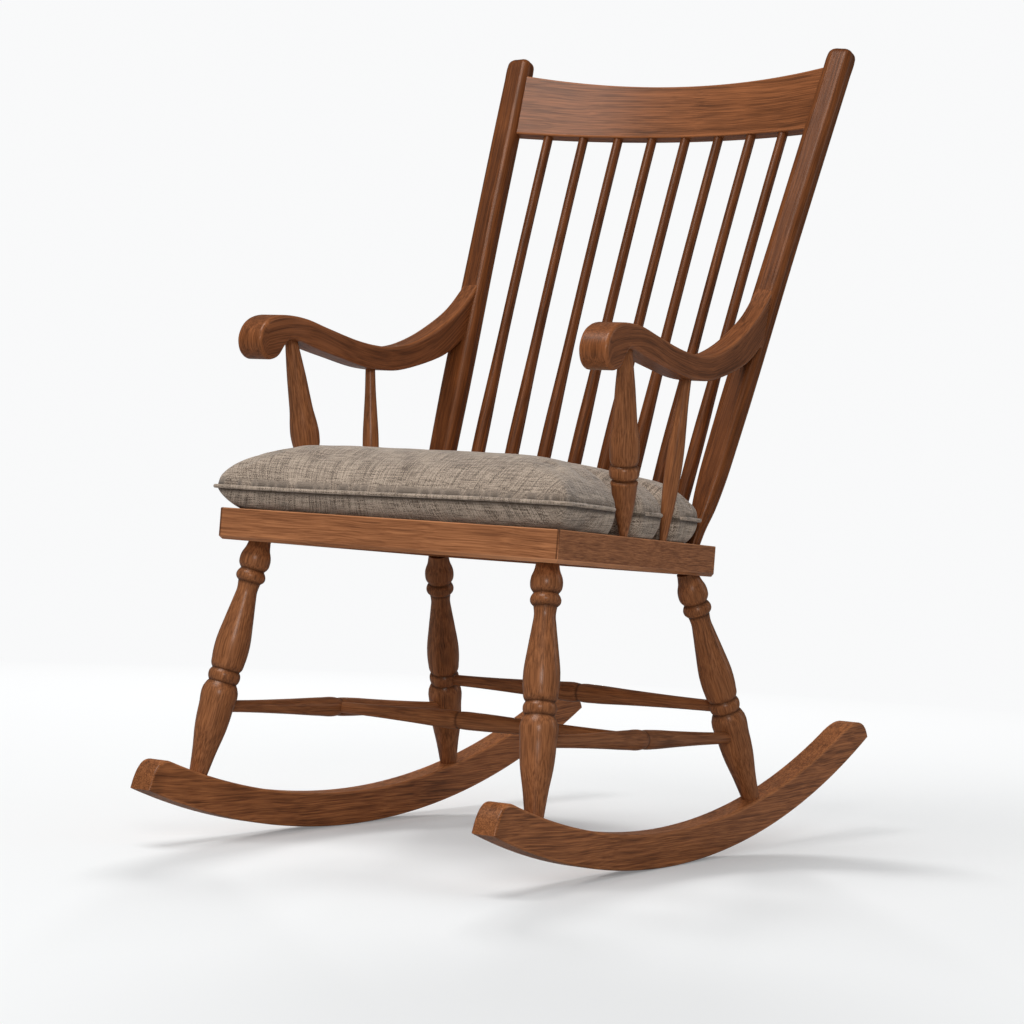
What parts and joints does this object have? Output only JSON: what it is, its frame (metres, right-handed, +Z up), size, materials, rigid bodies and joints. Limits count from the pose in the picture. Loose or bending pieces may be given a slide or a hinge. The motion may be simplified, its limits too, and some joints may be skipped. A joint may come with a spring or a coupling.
{
  "type": "rocking chair",
  "caption": "Wooden rocking chair with a bowed crest rail over a spindle back, scrolled arms on turned posts, splayed turned legs, stretchers, curved rockers and a loose piped seat cushion.",
  "frame": {"origin": "on the floor, midway between the rockers' ends and midway between the two sides", "axes": "X to the sitter's left, Y to the back, Z up; the sitter faces -Y"},
  "size_m": [0.5464, 0.9728, 1.0634],
  "materials": {
    "stained_wood": "reddish brown stain under a semi-gloss lacquer",
    "screw_steel": "plain countersunk screw",
    "woven_fabric": "grey-brown slub weave with piping of the same cloth"
  },
  "bodies": {
    "chair": {"rocker_left": "stained_wood", "rocker_right": "stained_wood", "rocker_pin_front_left": "stained_wood", "rocker_pin_front_right": "stained_wood", "rocker_pin_back_left": "stained_wood", "rocker_pin_back_right": "stained_wood", "leg_front_left": "stained_wood", "leg_front_right": "stained_wood", "leg_back_left": "stained_wood", "leg_back_right": "stained_wood", "side_stretcher_left": "stained_wood", "side_stretcher_right": "stained_wood", "back_stretcher": "stained_wood", "medial_stretcher": "stained_wood", "seat_front_rail": "stained_wood", "seat_side_rail_left": "stained_wood", "seat_side_rail_right": "stained_wood", "seat_back_rail": "stained_wood", "seat_panel": "stained_wood", "seat_corner_block_left": "stained_wood", "seat_corner_block_right": "stained_wood", "seat_dowel_left": "stained_wood", "seat_dowel_right": "stained_wood", "stile_left": "stained_wood", "stile_right": "stained_wood", "crest_rail": "stained_wood", "spindle_1": "stained_wood", "spindle_2": "stained_wood", "spindle_3": "stained_wood", "spindle_4": "stained_wood", "spindle_5": "stained_wood", "spindle_6": "stained_wood", "spindle_7": "stained_wood", "spindle_8": "stained_wood", "arm_left": "stained_wood", "arm_right": "stained_wood", "arm_post_front_left": "stained_wood", "arm_post_front_right": "stained_wood", "arm_post_rear_left": "stained_wood", "arm_post_rear_right": "stained_wood", "arm_screw_left": "screw_steel", "arm_screw_right": "screw_steel", "arm_screw_plug_left": "stained_wood", "arm_screw_plug_right": "stained_wood"},
    "cushion": {"cushion": "woven_fabric"}
  },
  "joints": [
    {"name": "cushion_lift", "type": "slide", "parent": "chair", "child": "cushion", "axis": [0, -0.139, 0.9903], "range_m": [0, 0.12]}
  ]
}
